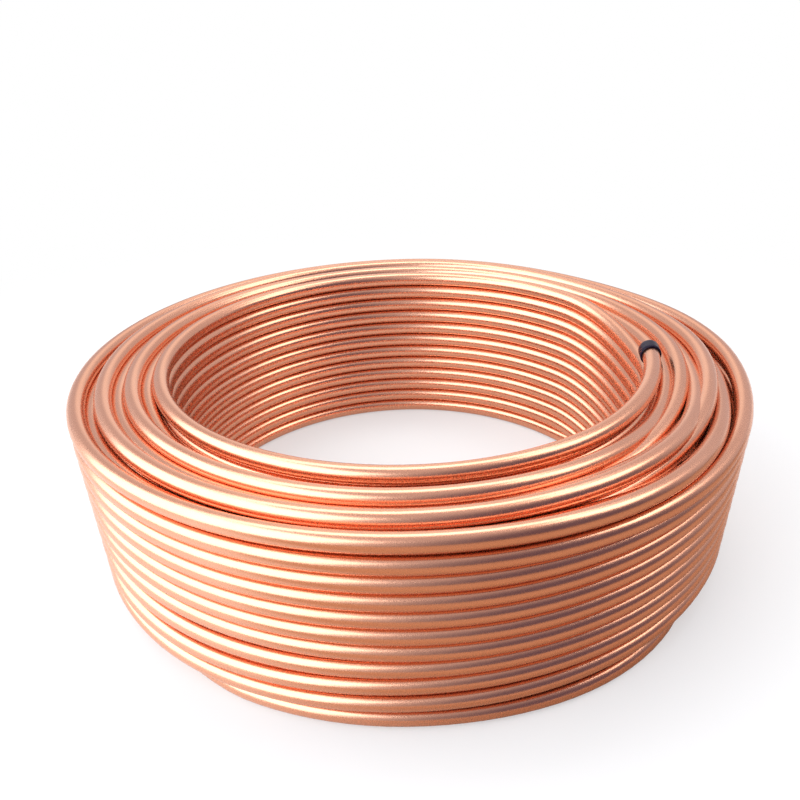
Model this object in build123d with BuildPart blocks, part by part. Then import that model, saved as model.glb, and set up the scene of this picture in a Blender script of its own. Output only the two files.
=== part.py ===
from build123d import *
from math import cos, radians, sin, sqrt
import os

os.makedirs("parts", exist_ok=True)

# Soft copper tube in a level-wound coil that lies flat, its free end capped.
# Millimetres, +Z up. The bore axis is the Z axis and the floor is Z = 0.
# Angles are seen from above, counter-clockwise from +X.

# Tube
tube_od = 12.7
tube_wall = 0.8

# Winding: seven layers, each nested in the grooves of the layer inside it, so a
# turn fills a six-sided cell. The last layer's rows are spread a little, and it
# has none on the floor.
layer_count = 7
rows_inside = 12
rows_outside = 10
bore_radius = 184.8
layer_pitch = tube_od * sqrt(3) / 2
outside_row_low = 1.55 * tube_od
outside_row_top = 11.13 * tube_od
outside_row_pitch = (outside_row_top - outside_row_low) / (rows_outside - 1)
first_layer_radius = bore_radius + tube_od / 2
second_layer_radius = first_layer_radius + layer_pitch
last_layer_radius = first_layer_radius + (layer_count - 1) * layer_pitch
sixth_layer_radius = last_layer_radius - layer_pitch
fifth_layer_radius = sixth_layer_radius - layer_pitch
sixth_layer_low = tube_od
wound_height = rows_inside * tube_od

# Bottom turn of the sixth layer: in front a stretch of it has slipped out and down
# to the floor
slip_start_angle = -125
slip_middle_angle = -83
slip_end_angle = -41
slip_inset = 3.0
slip_lift = 0.2

# Top turn of the first layer: it climbs off the turn below and runs clockwise to
# the free end, which rises and leans into the bore
top_turn_height = wound_height - tube_od / 2
climb_low_angle = 6
climb_high_angle = 36
climb_inset = 4.0
climb_drop = 14.6
climb_seat = 0.4
free_end_angle = -54
free_end_bend_radius = 178.0
free_end_bend = 46
free_end_slope = 1.5
free_end_straight = 16.0

# Push-on cap
cap_wall = 1.5
cap_cover = 11.0
cap_end_wall = 2.5
cap_edge_bevel = 1.2


def point_on_turn(radius, angle, height):
    return Vector(radius * cos(radians(angle)), radius * sin(radians(angle)), height)


def direction_of_turn(angle):
    """Counter-clockwise along a turn."""
    return Vector(-sin(radians(angle)), cos(radians(angle)), 0)


def section_plane(angle):
    """Half plane through the bore axis, radius along its x and height along its y."""
    return Plane((0, 0, 0), x_dir=point_on_turn(1, angle, 0), z_dir=-direction_of_turn(angle))


# Turns that show, as radius and height of their centres
bore_rows = [(first_layer_radius, (row + 0.5) * tube_od) for row in range(rows_inside - 1)]
outside_heights = [outside_row_low + row * outside_row_pitch for row in range(rows_outside)]
outside_rows = [(last_layer_radius, height) for height in outside_heights]
raised_radii = [first_layer_radius + layer * layer_pitch for layer in range(2, layer_count - 1, 2)]
raised_turns = [(radius, tube_od / 2) for radius in raised_radii]
raised_turns += [(radius, top_turn_height) for radius in raised_radii]
seat_turn = (second_layer_radius, wound_height - tube_od)
sixth_layer_turn = (sixth_layer_radius, sixth_layer_low)
top_turn = (first_layer_radius, top_turn_height)

# Bend of the free end, in a plane that slopes up from the top turn
free_end_start = point_on_turn(first_layer_radius, free_end_angle, top_turn_height)
free_end_tangent = direction_of_turn(free_end_angle) + Vector(0, 0, sin(radians(free_end_slope)))
free_end_inward = -point_on_turn(1, free_end_angle, 0)
free_end_plane = Plane(free_end_start, x_dir=free_end_tangent, z_dir=free_end_tangent.cross(free_end_inward))

# Ends of the climb
climb_high = point_on_turn(first_layer_radius, climb_high_angle, top_turn_height - climb_seat)
climb_low = point_on_turn(first_layer_radius + climb_inset, climb_low_angle, top_turn_height - climb_drop)

# Ends and middle of the slipped stretch
slip_start = point_on_turn(sixth_layer_radius - slip_inset, slip_start_angle, sixth_layer_low + slip_inset)
slip_middle = point_on_turn(last_layer_radius, slip_middle_angle, tube_od / 2 + slip_lift)
slip_end = point_on_turn(sixth_layer_radius - slip_inset, slip_end_angle, sixth_layer_low + slip_inset)


# The tube, wound
with BuildPart() as copper_tube:
    # Winding: the body up to the crowns of the sunk layers, and the turns that
    # stand out of it in the bore, on the outside and on both ends
    with BuildSketch(section_plane(0)) as winding_section:
        with Locations((first_layer_radius, tube_od / 2)):
            Rectangle(layer_pitch, wound_height - 1.5 * tube_od, align=Align.MIN)
        with Locations((second_layer_radius, tube_od / 2)):
            Rectangle(fifth_layer_radius - second_layer_radius, wound_height - tube_od, align=Align.MIN)
        with Locations((fifth_layer_radius, tube_od / 2)):
            Rectangle(layer_pitch, outside_row_top - tube_od / 2, align=Align.MIN)
        with Locations((sixth_layer_radius, outside_row_low - outside_row_pitch / 2)):
            Rectangle(layer_pitch, outside_row_pitch * (rows_outside - 0.5), align=Align.MIN)
        with Locations(*bore_rows, *raised_turns, seat_turn, sixth_layer_turn):
            RegularPolygon(tube_od / 2, 6, major_radius=False)
        with Locations(*outside_rows):
            RegularPolygon(outside_row_pitch / 2, 6, major_radius=False)
    revolve(axis=Axis.Z)

    # Slipped stretch of the sixth layer's bottom turn
    with BuildLine() as slipped_line:
        Spline(
            slip_start,
            slip_middle,
            slip_end,
            tangents=(direction_of_turn(slip_start_angle), direction_of_turn(slip_end_angle)),
        )
    slip_plane = Plane(slip_start, x_dir=Vector(0, 0, 1), z_dir=direction_of_turn(slip_start_angle))
    with BuildSketch(slip_plane) as slipped_section:
        RegularPolygon(tube_od / 2, 6, major_radius=False, rotation=30)
    sweep(path=slipped_line.line)

    # Top turn of the first layer
    with BuildSketch(section_plane(climb_high_angle)) as top_turn_section:
        with Locations(top_turn):
            RegularPolygon(tube_od / 2, 6, major_radius=False)
    revolve(axis=Axis.Z, revolution_arc=360 + free_end_angle - climb_high_angle)

    # Climb from the turn below
    with BuildLine() as climb_line:
        Spline(
            climb_high,
            climb_low,
            tangents=(-direction_of_turn(climb_high_angle), -direction_of_turn(climb_low_angle)),
        )
    climb_plane = Plane(climb_high, x_dir=Vector(0, 0, 1), z_dir=-direction_of_turn(climb_high_angle))
    with BuildSketch(climb_plane) as climb_section:
        RegularPolygon(tube_od / 2, 6, major_radius=False, rotation=30)
    sweep(path=climb_line.line)

    # Free end: a round tube, bent, then straight to where it is cut, its bore open
    with BuildLine(free_end_plane) as free_end_line:
        bend = JernArc((0, 0), (1, 0), radius=free_end_bend_radius, arc_size=free_end_bend)
        straight = Line(bend @ 1, bend @ 1 + (bend % 1) * free_end_straight)
    with BuildSketch(Plane(free_end_start, z_dir=free_end_tangent)) as free_end_section:
        Circle(tube_od / 2)
    sweep(path=free_end_line.line)
    with BuildSketch(Plane(straight @ 0, z_dir=straight % 0)) as free_end_bore:
        Circle(tube_od / 2 - tube_wall)
    extrude(amount=free_end_straight, mode=Mode.SUBTRACT)


# Push-on cap, closed and bevelled at its outer end
cap_mouth = Plane(straight @ 1 - (straight % 1) * cap_cover, z_dir=straight % 1)
with BuildPart() as end_cap:
    with BuildSketch(cap_mouth) as cap_outside:
        Circle(tube_od / 2 + cap_wall)
    extrude(amount=cap_cover + cap_end_wall)
    closed_face = end_cap.faces().sort_by(Axis(cap_mouth.origin, cap_mouth.z_dir))[-1]
    chamfer(closed_face.edges(), length=cap_edge_bevel)
    with BuildSketch(cap_mouth) as cap_inside:
        Circle(tube_od / 2)
    extrude(amount=cap_cover, mode=Mode.SUBTRACT)


copper_tube.part.label = "copper_tube"
end_cap.part.label = "end_cap"
export_step(copper_tube.part, "parts/copper_tube.step")
export_step(end_cap.part, "parts/end_cap.step")
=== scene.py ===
"""Copper tube coil: one long soft copper tube wound in seven nested layers, with a
black push-on cap on its free end. Metres, +Z up, the bore axis is the Z axis."""

import math

import bpy
import numpy as np
from mathutils import Matrix, Vector


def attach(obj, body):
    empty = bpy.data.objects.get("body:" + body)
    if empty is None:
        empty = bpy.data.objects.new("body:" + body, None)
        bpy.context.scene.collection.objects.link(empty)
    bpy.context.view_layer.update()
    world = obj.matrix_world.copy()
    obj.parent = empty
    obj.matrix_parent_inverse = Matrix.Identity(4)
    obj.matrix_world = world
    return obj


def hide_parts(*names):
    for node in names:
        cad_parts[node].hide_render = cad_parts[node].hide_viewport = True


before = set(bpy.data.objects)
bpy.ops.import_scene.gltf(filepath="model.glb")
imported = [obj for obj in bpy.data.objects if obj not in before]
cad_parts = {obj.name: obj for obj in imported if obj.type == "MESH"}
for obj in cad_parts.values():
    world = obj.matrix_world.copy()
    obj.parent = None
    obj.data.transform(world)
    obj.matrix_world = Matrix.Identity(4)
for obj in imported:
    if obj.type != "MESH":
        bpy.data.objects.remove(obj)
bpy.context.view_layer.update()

# Driving sizes
# Heights and radii of the winding are in tube diameters. Angles, lengths along the
# tube and half widths of stretches are in degrees, seen from above and
# counter-clockwise from +X. The viewer of the photo looks along +Y.
TUBE = 0.0127
WALL = 0.0008
LAYERS = 7
FIRST_RADIUS = 15.05
NEST_PITCH = math.sqrt(3) / 2
FULL_ROWS = 12
SIXTH_ROWS, SIXTH_PITCH = 10, 1.065
OUTSIDE_ROWS, OUTSIDE_PITCH = 10, 1.049
OUTSIDE_TOP = 11.13

# The free end, and the outer end at the back
START_ANGLE, LAST_ANGLE = -7.5, 100.0

# Where the turns of each layer shift by one row, and how long the shift is
SHIFT_ANGLE = [18.0, -40.0, -30.0, -40.0, -40.0, -46.0, -36.0]
SHIFT_LENGTH = [38.0, 60.0, 60.0, 60.0, 60.0, 60.0, 110.0]
# Where the top turns of the second, fourth and sixth layers climb out to the next
# layer. The layers are counted from 0 here.
CLIMB_ANGLE = {1: -46.0, 3: -32.0, 5: -44.0}
CLIMB_LENGTH = {1: 76.0, 3: 56.0, 5: 60.0}
# Where the outside layer's top turn drops, clear of the turn that climbs out over it
TOP_DROP_ANGLE, TOP_DROP_LENGTH = -16.0, 72.0

# Slack of each layer: towards the viewer the layers stand apart, at the sides they
# are pressed together
FRONT_ANGLE, LEFT_ANGLE, RIGHT_ANGLE = -103.0, 170.0, -12.0
FRONT_SLACK = [0.08, 0.20, 0.34, 0.32, 0.28, 0.06, -0.14]
LEFT_SQUEEZE = [0.0, 0.10, 0.20, 0.26, 0.32, 0.38, 0.43]
RIGHT_SQUEEZE = [0.05, 0.22, 0.34, 0.44, 0.46, 0.60, 0.14]

# At the back right the outer layers lean in, more so towards the top
LEAN, LEAN_ANGLE, LEAN_HALF_WIDTH = 0.88, 40.0, 48.0
LEAN_HEIGHTS, LEAN_SHARES = [3.0, 9.5], [0.25, 1.0]

# Towards the viewer the second layer sinks between its neighbours
SINK, SINK_ANGLE, SINK_REACH, SINK_RAMP = 0.5, -90.0, 75.0, 25.0

# In front the outer rows stand higher than at the sides: height of a row, and its
# rise. The lowest of them rise over a shorter stretch, and drop at the left of it.
RISE_HEIGHTS = [1.5, 2.6, 3.7, 4.7, 5.7, 6.8, 7.8, 8.9, 9.9, 11.1]
RISES = [0.25, 0.42, 0.44, 0.41, 0.36, 0.33, 0.28, 0.26, 0.20, 0.14]
LOW_RISE_ANGLE, LOW_RISE_HALF_WIDTH = -78.0, 66.0
HIGH_RISE_ANGLE, HIGH_RISE_HALF_WIDTH = -95.0, 110.0
LOW_ROWS_END, HIGH_ROWS_START = 3.7, 4.7
DROP, DROP_ANGLE, DROP_HALF_WIDTH = 0.38, -140.0, 60.0
DROP_TOP, DROP_FADE = 2.6, 0.9

# The third layer's top turn is pushed out a little by the turn that climbs over it
BULGE, BULGE_LATE, BULGE_HALF_WIDTH = 0.10, 5.0, 48.0

# The sixth layer's bottom turn has slipped out and down to the floor in front, and
# further out towards the right
SLIP_ANGLE, SLIP_REACH, SLIP_RAMP = -80.0, 57.0, 22.0
SLIP_OUT, SLIP_HEIGHT = 0.52, 0.5
SLIP_RIGHT_OUT, SLIP_RIGHT_ANGLE, SLIP_RIGHT_HALF_WIDTH = 0.38, -52.0, 40.0

# The free end rises and leans into the bore over its last stretch
FREE_LENGTH, FREE_RISE, FREE_LEAN = 50.0, 0.27, 0.06

# Mesh of the tube: sides of its section, and steps in a turn. Turns that are out of
# sight have fewer steps. The bore of an open end is a few steps deep.
SIDES = 14
FINE_STEPS, COARSE_STEPS = 132, 36
HIDDEN_LOW, HIDDEN_HIGH = 2.2, 9.6
BORE_RINGS = 4


def smooth(share):
    """0 to 1 with level ends, for a share from 0 to 1."""
    share = np.clip(share, 0.0, 1.0)
    return share * share * (3.0 - 2.0 * share)


def degrees_from(azimuth, centre):
    """How far an azimuth is from a centre, either way round."""
    return np.abs((azimuth - centre + 180.0) % 360.0 - 180.0)


def lobe(azimuth, centre, half_width):
    """1 at a centre, falling smoothly to 0 at half_width degrees to each side."""
    return smooth(1.0 - degrees_from(azimuth, centre) / half_width)


def facing(azimuth, centre):
    """1 at a centre, falling to 0 a quarter turn to each side."""
    return np.clip(np.cos(np.radians(azimuth) - math.radians(centre)), 0.0, 1.0) ** 2


# Winding
def layer_heights(layer):
    """Heights of a layer's rows, in the order in which the tube is laid."""
    if layer == LAYERS - 1:
        rows = [0.5 + OUTSIDE_PITCH * row for row in range(1, OUTSIDE_ROWS)] + [OUTSIDE_TOP]
    elif layer == LAYERS - 2:
        rows = [1.0 + SIXTH_PITCH * row for row in range(SIXTH_ROWS)]
    elif layer % 2 == 0:
        rows = [0.5 + row for row in range(FULL_ROWS)]
    else:
        rows = [1.0 + row for row in range(FULL_ROWS - 1)]
    return rows[::-1] if layer % 2 == 0 else rows


# Layer and height of each turn, from the free end on
ROWS = [(layer, height) for layer in range(LAYERS) for height in layer_heights(layer)]


def crossing_angles():
    """For each turn, the angle wound from the free end to the middle of its shift or
    climb to the next turn, and how long that is."""
    crossings, lengths = [], []
    for turn, (layer, _) in enumerate(ROWS):
        if turn == ROWS.index((LAYERS - 1, OUTSIDE_TOP)):
            angle, length = TOP_DROP_ANGLE, TOP_DROP_LENGTH
        elif layer in CLIMB_ANGLE and ROWS[turn + 1][0] > layer:
            angle, length = CLIMB_ANGLE[layer], CLIMB_LENGTH[layer]
        else:
            angle, length = SHIFT_ANGLE[layer], SHIFT_LENGTH[layer]
        crossings.append(START_ANGLE - angle + 360.0 * (turn + 1))
        lengths.append(length)
    return crossings, lengths


def is_hidden(turn):
    """Whether a turn and the turns before and after it are inside the winding."""
    nearby = [ROWS[near] for near in (max(turn - 1, 0), turn, min(turn + 1, len(ROWS) - 1))]
    return all(0 < layer < LAYERS - 1 and HIDDEN_LOW < height < HIDDEN_HIGH for layer, height in nearby)


def wound_line():
    """Centre line of the whole tube: angle wound from the free end, layer and height.
    Also the angles wound at which its turns cross to the next."""
    crossings, lengths = crossing_angles()
    end = crossings[-2] + (SHIFT_ANGLE[-1] - LAST_ANGLE) % 360.0
    wound = [0.0]
    turn = 0
    while wound[-1] < end:
        while turn < len(ROWS) - 1 and wound[-1] > crossings[turn]:
            turn += 1
        wound.append(wound[-1] + 360.0 / (COARSE_STEPS if is_hidden(turn) else FINE_STEPS))
    wound = np.array(wound[:-1] + [end])

    layer_at = np.full(len(wound), float(ROWS[0][0]))
    height = np.full(len(wound), ROWS[0][1])
    for turn in range(len(ROWS) - 1):
        passed = smooth((wound - crossings[turn]) / lengths[turn] + 0.5)
        layer_at += passed * (ROWS[turn + 1][0] - ROWS[turn][0])
        height += passed * (ROWS[turn + 1][1] - ROWS[turn][1])
    return wound, layer_at, height, crossings


def slack_radius(azimuth, layer_at, height):
    """Radius of a layer with its slack in front and its squeeze at the sides."""
    layers = range(LAYERS)
    radius = FIRST_RADIUS + NEST_PITCH * layer_at
    radius += facing(azimuth, FRONT_ANGLE) * np.interp(layer_at, layers, FRONT_SLACK)
    radius -= facing(azimuth, LEFT_ANGLE) * np.interp(layer_at, layers, LEFT_SQUEEZE)
    radius -= facing(azimuth, RIGHT_ANGLE) * np.interp(layer_at, layers, RIGHT_SQUEEZE)
    leaning = np.interp(height, LEAN_HEIGHTS, LEAN_SHARES)
    radius -= LEAN * leaning * layer_at / (LAYERS - 1) * lobe(azimuth, LEAN_ANGLE, LEAN_HALF_WIDTH)
    return radius


def outer_rise(azimuth, layer_at, height):
    """Rise of the outer rows in front, less the drop of the lowest ones at its left."""
    outer = np.clip(layer_at - (LAYERS - 3), 0.0, 1.0)
    low = np.interp(height, [LOW_ROWS_END, HIGH_ROWS_START], [1.0, 0.0])
    rise = low * lobe(azimuth, LOW_RISE_ANGLE, LOW_RISE_HALF_WIDTH)
    rise += (1.0 - low) * lobe(azimuth, HIGH_RISE_ANGLE, HIGH_RISE_HALF_WIDTH)
    drop = (1.0 - smooth((height - DROP_TOP) / DROP_FADE)) * lobe(azimuth, DROP_ANGLE, DROP_HALF_WIDTH)
    return outer * (rise * np.interp(height, RISE_HEIGHTS, RISES) - DROP * drop)


def shaped_line():
    """Azimuth, radius and height of the centre line, with the slack of the layers, the
    slipped stretch and the lift of the free end."""
    wound, layer_at, height, crossings = wound_line()
    azimuth = START_ANGLE - wound
    radius = slack_radius(azimuth, layer_at, height)

    second = np.clip(1.0 - np.abs(layer_at - 1.0), 0.0, 1.0)
    height -= SINK * second * smooth((SINK_REACH - degrees_from(azimuth, SINK_ANGLE)) / SINK_RAMP)
    height += outer_rise(azimuth, layer_at, height)

    bulge_at = crossings[ROWS.index((2, FULL_ROWS - 0.5))] + BULGE_LATE
    radius += BULGE * smooth(1.0 - np.abs(wound - bulge_at) / BULGE_HALF_WIDTH)

    slip_from = crossings[ROWS.index((LAYERS - 2, 1.0)) - 1]
    in_turn = (wound > slip_from) * (wound < slip_from + 360.0)
    slipped = smooth((SLIP_REACH - degrees_from(azimuth, SLIP_ANGLE)) / SLIP_RAMP) * in_turn
    right_out = SLIP_RIGHT_OUT * lobe(azimuth, SLIP_RIGHT_ANGLE, SLIP_RIGHT_HALF_WIDTH)
    radius += slipped * (SLIP_OUT + right_out)
    height = (1.0 - slipped) * height + slipped * SLIP_HEIGHT

    free = 1.0 - smooth(wound / FREE_LENGTH)
    height += FREE_RISE * free
    radius -= FREE_LEAN * free
    return azimuth, radius, height


def mesh_object(name, vertices, faces):
    """A smooth-shaded mesh object in the scene."""
    mesh = bpy.data.meshes.new(name)
    mesh.from_pydata(vertices, [], faces)
    mesh.polygons.foreach_set("use_smooth", [True] * len(mesh.polygons))
    mesh.update()
    piece = bpy.data.objects.new(name, mesh)
    bpy.context.scene.collection.objects.link(piece)
    return piece


def bridge(faces, first, second, sides, flip=False):
    """Faces between two rings of vertices that start at first and second."""
    for side in range(sides):
        after = (side + 1) % sides
        quad = (first + side, first + after, second + after, second + side)
        faces.append(quad[::-1] if flip else quad)


def tube_mesh(name, points, radials, uppers, radius, bore):
    """Tube along points with an open bore at both ends. radials and uppers span each
    cross section."""
    turn = np.linspace(0.0, 2.0 * math.pi, SIDES, endpoint=False)[None, :, None]
    ring = radials[:, None, :] * np.cos(turn) + uppers[:, None, :] * np.sin(turn)
    outside = points[:, None, :] + radius * ring
    inside = points[:, None, :] + bore * ring
    vertices = outside.reshape(-1, 3).tolist()
    faces = []
    last = len(points) - 1
    for station in range(last):
        bridge(faces, station * SIDES, (station + 1) * SIDES, SIDES)

    for stations, at_start in ((range(BORE_RINGS), True), (range(last, last - BORE_RINGS, -1), False)):
        base = len(vertices)
        for station in stations:
            vertices.extend(inside[station].tolist())
        edge = 0 if at_start else last * SIDES
        bridge(faces, edge, base, SIDES, flip=at_start)
        for step in range(BORE_RINGS - 1):
            bridge(faces, base + step * SIDES, base + (step + 1) * SIDES, SIDES, flip=at_start)
        plug = tuple(base + (BORE_RINGS - 1) * SIDES + side for side in range(SIDES))
        faces.append(plug if at_start else plug[::-1])
    return mesh_object(name, vertices, faces)


def build_coil():
    """The wound tube, its centre line and the directions along it."""
    azimuth, radius, height = shaped_line()
    angle = np.radians(azimuth)
    outward = np.stack([np.cos(angle), np.sin(angle), np.zeros_like(angle)], axis=1)
    points = outward * radius[:, None]
    points[:, 2] = height
    points *= TUBE
    along = np.gradient(points, axis=0)
    along /= np.linalg.norm(along, axis=1)[:, None]
    uppers = np.cross(outward, along)
    uppers /= np.linalg.norm(uppers, axis=1)[:, None]
    uppers *= np.sign(uppers[:, 2])[:, None]
    radials = outward - along * np.sum(outward * along, axis=1)[:, None]
    radials /= np.linalg.norm(radials, axis=1)[:, None]
    coil = tube_mesh("wound_tube", points, radials, uppers, TUBE / 2, TUBE / 2 - WALL)
    return coil, points, along


coil, line, directions = build_coil()
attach(coil, "root")
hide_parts("copper_tube")


# Cap
CAP_WALL = 0.0015
CAP_CLEARANCE = 0.0001
CAP_SLEEVE = 0.0116
CAP_COVER = 0.0095
CAP_EDGE_RADIUS = 0.0020
CAP_SIDES = 48
SLEEVE_STEPS, EDGE_STEPS = 4, 6
# The rolled mouth: how far its lip stands out, and is set in from the bore and from
# the outside, and where its outer side meets the sleeve
LIP_BORE_INSET, LIP_BORE_OUT = 0.0005, 0.0004
LIP_SIDE_INSET, LIP_SIDE_OUT = 0.0003, 0.0003
LIP_DEPTH = 0.0004
# The crown of the closed end: where it starts, as a share of the outer radius, and
# its heights there and at the tip, in edge radii above the sleeve
CROWN_START, CROWN_LOW, CROWN_TOP = 0.45, 1.12, 1.16


def cap_profile():
    """Radius and height above the mouth, from the mouth to the crown, and the height
    of the tip."""
    outer = TUBE / 2 + CAP_WALL
    inner = TUBE / 2 + CAP_CLEARANCE
    edge = CAP_EDGE_RADIUS
    profile = [
        (inner, 0.0),
        (inner + LIP_BORE_INSET, -LIP_BORE_OUT),
        (outer - LIP_SIDE_INSET, -LIP_SIDE_OUT),
        (outer, LIP_DEPTH),
    ]
    profile += [(outer, CAP_SLEEVE * step / SLEEVE_STEPS) for step in range(1, SLEEVE_STEPS + 1)]
    for step in range(1, EDGE_STEPS + 1):
        turn = math.radians(90 * step / EDGE_STEPS)
        profile.append(((outer - edge) + edge * math.cos(turn), CAP_SLEEVE + edge * math.sin(turn)))
    profile.append((outer * CROWN_START, CAP_SLEEVE + edge * CROWN_LOW))
    return profile, CAP_SLEEVE + edge * CROWN_TOP


def build_cap(end, out_of_end):
    """Push-on cap with a rolled mouth and a domed end, turned about its local Z and
    set over the free end."""
    profile, tip_height = cap_profile()
    vertices, faces = [], []
    for radius, height in profile:
        for side in range(CAP_SIDES):
            turn = 2 * math.pi * side / CAP_SIDES
            vertices.append((radius * math.cos(turn), radius * math.sin(turn), height))
    tip = len(vertices)
    vertices.append((0.0, 0.0, tip_height))
    last = len(profile) - 1
    for ring in range(last):
        bridge(faces, ring * CAP_SIDES, (ring + 1) * CAP_SIDES, CAP_SIDES)
    for side in range(CAP_SIDES):
        faces.append((last * CAP_SIDES + side, last * CAP_SIDES + (side + 1) % CAP_SIDES, tip))
    cap = mesh_object("push_on_cap", vertices, faces)
    turned = out_of_end.to_track_quat("Z", "Y").to_matrix().to_4x4()
    cap.matrix_world = Matrix.Translation(end - out_of_end * CAP_COVER) @ turned
    return cap


cap = build_cap(Vector(line[0]), Vector(-directions[0]))
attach(cap, "root")
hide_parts("end_cap")


# Materials
COPPER_DEEP, COPPER_PALE = (0.88, 0.42, 0.26, 1.0), (0.94, 0.49, 0.33, 1.0)
BLACK_DEEP, BLACK_PALE = (0.008, 0.004, 0.014, 1.0), (0.014, 0.008, 0.024, 1.0)
GRAIN_DEPTH = 0.0002


class Nodes:
    """Short hand for a node tree. Inputs of a node are named, or numbered as i0, i1
    and so on, and each is linked to a socket or set to a value."""

    def __init__(self, tree):
        self.tree = tree

    def feed(self, node, **inputs):
        """Link or set inputs of a node."""
        for key, value in inputs.items():
            numbered = key[0] == "i" and key[1:].isdigit()
            socket = node.inputs[int(key[1:]) if numbered else key.replace("_", " ")]
            if isinstance(value, bpy.types.NodeSocket):
                self.tree.links.new(value, socket)
            else:
                socket.default_value = value

    def add(self, kind, settings=(), **inputs):
        """A new node."""
        node = self.tree.nodes.new(kind)
        for key, value in settings:
            setattr(node, key, value)
        self.feed(node, **inputs)
        return node

    def mix(self, share, first, second):
        """First colour to second, as a share goes from 0 to 1."""
        return self.add("ShaderNodeMix", [("data_type", "RGBA")], i0=share, i6=first, i7=second).outputs[2]

    def ramp(self, value, start, end, low=0.0, high=1.0, kind="SMOOTHSTEP"):
        """From low to high, as a value goes from start to end."""
        limits = {"From_Min": start, "From_Max": end, "To_Min": low, "To_Max": high}
        node = self.add("ShaderNodeMapRange", [("interpolation_type", kind)], Value=value, **limits)
        return node.outputs[0]

    def maths(self, operation, first, second=0.0):
        """Product, maximum or the like of one or two values."""
        return self.add("ShaderNodeMath", [("operation", operation)], i0=first, i1=second).outputs[0]

    def dot(self, first, second):
        """Dot product of two vectors."""
        node = self.add("ShaderNodeVectorMath", [("operation", "DOT_PRODUCT")], i0=first, i1=second)
        return node.outputs["Value"]

    def noise(self, place, scale, detail, roughness=0.5):
        """Cloudy values from 0 to 1."""
        node = self.add("ShaderNodeTexNoise", Vector=place, Scale=scale, Detail=detail, Roughness=roughness)
        return node.outputs["Fac"]


def new_material(name):
    """A material, its nodes and its shader."""
    material = bpy.data.materials.new(name)
    material.use_nodes = True
    tree = material.node_tree
    return material, Nodes(tree), tree.nodes["Principled BSDF"]


def copper_material():
    """Bright drawn copper, a little cloudy in colour and gloss."""
    material, nodes, shader = new_material("bright_copper")
    place = nodes.add("ShaderNodeTexCoord").outputs["Object"]
    cloudy = nodes.noise(place, scale=22.0, detail=4.0, roughness=0.6)
    speckle = nodes.noise(place, scale=700.0, detail=3.0, roughness=0.7)
    tint = nodes.mix(cloudy, COPPER_DEEP, COPPER_PALE)
    dull = nodes.ramp(speckle, 0.35, 0.75, low=0.25, high=0.30, kind="LINEAR")
    bump = nodes.add("ShaderNodeBump", Strength=0.015, Distance=GRAIN_DEPTH, Height=speckle).outputs[0]
    nodes.feed(shader, Base_Color=tint, Metallic=1.0, Roughness=dull, Normal=bump)
    return material


def cap_material():
    """Glossy black plastic with a faint grain."""
    material, nodes, shader = new_material("glossy_black_plastic")
    place = nodes.add("ShaderNodeTexCoord").outputs["Object"]
    grain = nodes.noise(place, scale=400.0, detail=3.0)
    shade = nodes.mix(grain, BLACK_DEEP, BLACK_PALE)
    dull = nodes.ramp(grain, 0.0, 1.0, low=0.16, high=0.30, kind="LINEAR")
    bump = nodes.add("ShaderNodeBump", Strength=0.08, Distance=GRAIN_DEPTH, Height=grain).outputs[0]
    nodes.feed(shader, Base_Color=shade, Roughness=dull, Normal=bump, Specular_IOR_Level=0.14)
    return material


coil.data.materials.append(copper_material())
cap.data.materials.append(cap_material())


# Studio
WHITE = (1.0, 1.0, 1.0, 1.0)
# The second floor colour is a painted reflection: a dark warm colour that the floor shows only to the metal
# and in the light it throws on the coil, never to the camera
FLOOR_PALE, FLOOR_PAINTED_WARM_REFLECTION = (0.90, 0.90, 0.90, 1.0), (0.44, 0.29, 0.19, 1.0)
FLOOR_HALF = 40.0
SHADOW_START, SHADOW_REACH, SHADOW_GLOW = 0.30, 1.0, 0.45
BORE_REACH, COIL_REACH, BORE_GLOW = 0.19, 0.27, 0.45
FRONT_RIGHT_ANGLE = math.radians(-60.0)
FRONT_RIGHT_START, FRONT_RIGHT_END = 0.08, 0.28


def floor_surface(nodes, shader):
    """What the floor shows. Seen directly it is pale: near the coil it takes the
    coil's shadow, and further out it glows white. The metal shows it so behind and at
    the left of the coil, and only partly in the bore. In front and at the right the metal
    shows a dark warm colour instead, a painted reflection. The light that the floor
    throws on the coil is that warm colour too, painted bounce light."""
    place = nodes.add("ShaderNodeTexCoord").outputs["Object"]
    away = nodes.add("ShaderNodeVectorMath", [("operation", "LENGTH")], Vector=place).outputs["Value"]
    far = nodes.ramp(away, SHADOW_START, SHADOW_REACH, low=SHADOW_GLOW)
    front_right = (math.cos(FRONT_RIGHT_ANGLE), math.sin(FRONT_RIGHT_ANGLE), 0.0)
    behind = nodes.ramp(nodes.dot(place, front_right), FRONT_RIGHT_START, FRONT_RIGHT_END, low=1.0, high=0.0)
    outside = nodes.ramp(away, BORE_REACH, COIL_REACH, low=BORE_GLOW)
    rays = nodes.add("ShaderNodeLightPath").outputs
    in_metal = nodes.maths("MULTIPLY", nodes.maths("MULTIPLY", behind, outside), rays["Is Glossy Ray"])
    shown = nodes.maths("MAXIMUM", rays["Is Camera Ray"], in_metal)
    # Painted reflection and bounce light: rays that are not shown the pale floor get the dark warm colour
    nodes.feed(shader, Base_Color=nodes.mix(shown, FLOOR_PAINTED_WARM_REFLECTION, FLOOR_PALE), Roughness=0.9)
    glow = nodes.add("ShaderNodeEmission", Color=WHITE, Strength=1.0).outputs[0]
    glowing = nodes.maths("MULTIPLY", far, shown)
    return nodes.add("ShaderNodeMixShader", i0=glowing, i1=shader.outputs[0], i2=glow).outputs[0]


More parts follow.
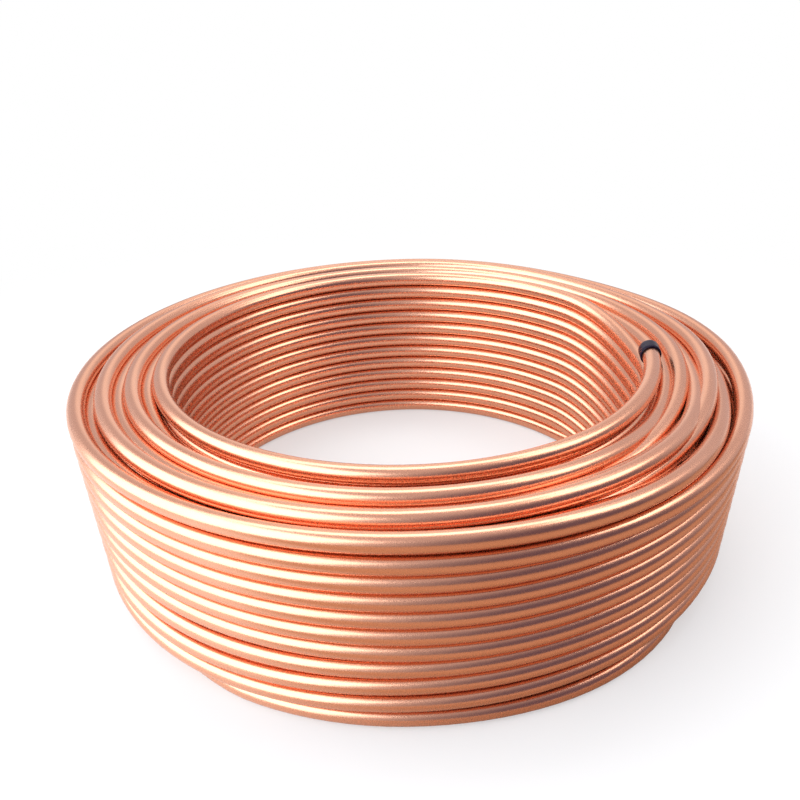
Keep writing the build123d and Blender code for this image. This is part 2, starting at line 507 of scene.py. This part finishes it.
def pale_floor():
    """White floor that is also the backdrop."""
    half = FLOOR_HALF
    corners = [(-half, -half, 0), (half, -half, 0), (half, half, 0), (-half, half, 0)]
    mesh = bpy.data.meshes.new("floor")
    mesh.from_pydata(corners, [], [(0, 1, 2, 3)])
    floor = bpy.data.objects.new("floor", mesh)
    bpy.context.scene.collection.objects.link(floor)
    material, nodes, shader = new_material("pale_floor")
    nodes.feed(nodes.tree.nodes["Material Output"], Surface=floor_surface(nodes, shader))
    mesh.materials.append(material)


LAMP_TARGET = Vector((0.0, 0.0, 0.05))


def softbox(name, place, size, watts, colour=(1.0, 1.0, 1.0)):
    """Soft rectangular lamp that points at the coil."""
    light = bpy.data.lights.new(name, "AREA")
    light.shape = "RECTANGLE"
    light.size, light.size_y = size
    light.energy = watts
    light.color = colour
    lamp = bpy.data.objects.new(name, light)
    lamp.location = place
    lamp.rotation_euler = (LAMP_TARGET - Vector(place)).to_track_quat("-Z", "Y").to_euler()
    bpy.context.scene.collection.objects.link(lamp)


pale_floor()
softbox("window_left", (-1.75, -0.72, 1.15), (4.0, 2.4), 80.0, (0.84, 0.95, 1.0))
softbox("top", (-0.1, 0.5, 2.0), (2.4, 0.8), 14.0)
softbox("right", (1.29, -0.02, 1.53), (0.9, 1.0), 8.0, (1.0, 0.97, 0.90))


WALL_COLOUR, DARK_COLOUR = (0.60, 0.59, 0.64, 1.0), (0.13, 0.11, 0.18, 1.0)
DARK_ANGLE, DARK_ELEVATION = math.radians(-42.0), math.radians(6.0)
DARK_START, DARK_END = 0.40, 0.95
BAND_CORE, BAND_EDGE = 0.06, 0.36
BEHIND_START, BEHIND_END = 0.0, 0.30


def studio_world():
    """A pale room with a white band up its back wall, dark towards the right in front,
    and plain white where it is seen directly, past the floor."""
    world = bpy.data.worlds.new("studio")
    bpy.context.scene.world = world
    world.use_nodes = True
    nodes = Nodes(world.node_tree)
    way = nodes.add("ShaderNodeTexCoord").outputs["Generated"]
    level = math.cos(DARK_ELEVATION)
    corner = (math.cos(DARK_ANGLE) * level, math.sin(DARK_ANGLE) * level, math.sin(DARK_ELEVATION))
    dark = nodes.ramp(nodes.dot(way, corner), DARK_START, DARK_END)
    parts = nodes.add("ShaderNodeSeparateXYZ", Vector=way).outputs
    middle = nodes.ramp(nodes.maths("ABSOLUTE", parts["X"]), BAND_CORE, BAND_EDGE, low=1.0, high=0.0)
    behind = nodes.ramp(parts["Y"], BEHIND_START, BEHIND_END)
    walls = nodes.mix(nodes.maths("MULTIPLY", middle, behind), WALL_COLOUR, WHITE)
    room = nodes.mix(dark, walls, DARK_COLOUR)
    seen = nodes.mix(nodes.add("ShaderNodeLightPath").outputs["Is Camera Ray"], room, WHITE)
    nodes.feed(nodes.tree.nodes["Background"], Color=seen)


studio_world()

# Camera
CAMERA_DISTANCE = 54.07 * TUBE
CAMERA_ELEVATION = math.radians(33.74)
CAMERA_ROLL = -0.034
LENS, SENSOR_WIDTH = 33.75, 36.0
LENS_SHIFT = 0.0056, 0.1341
AIM = Vector((-0.956, 0.0, -0.371)) * TUBE


def add_camera():
    """Camera at the photograph's viewing angle."""
    data = bpy.data.cameras.new("camera")
    data.lens = LENS
    data.sensor_width = SENSOR_WIDTH
    data.shift_x, data.shift_y = LENS_SHIFT
    camera = bpy.data.objects.new("camera", data)
    back = Vector((0.0, -math.cos(CAMERA_ELEVATION), math.sin(CAMERA_ELEVATION)))
    look = (-back).to_track_quat("-Z", "Y").to_matrix().to_4x4()
    place = Matrix.Translation(AIM + back * CAMERA_DISTANCE)
    camera.matrix_world = place @ look @ Matrix.Rotation(CAMERA_ROLL, 4, "Z")
    bpy.context.scene.collection.objects.link(camera)
    bpy.context.scene.camera = camera


add_camera()

bpy.context.scene.view_settings.view_transform = "Standard"
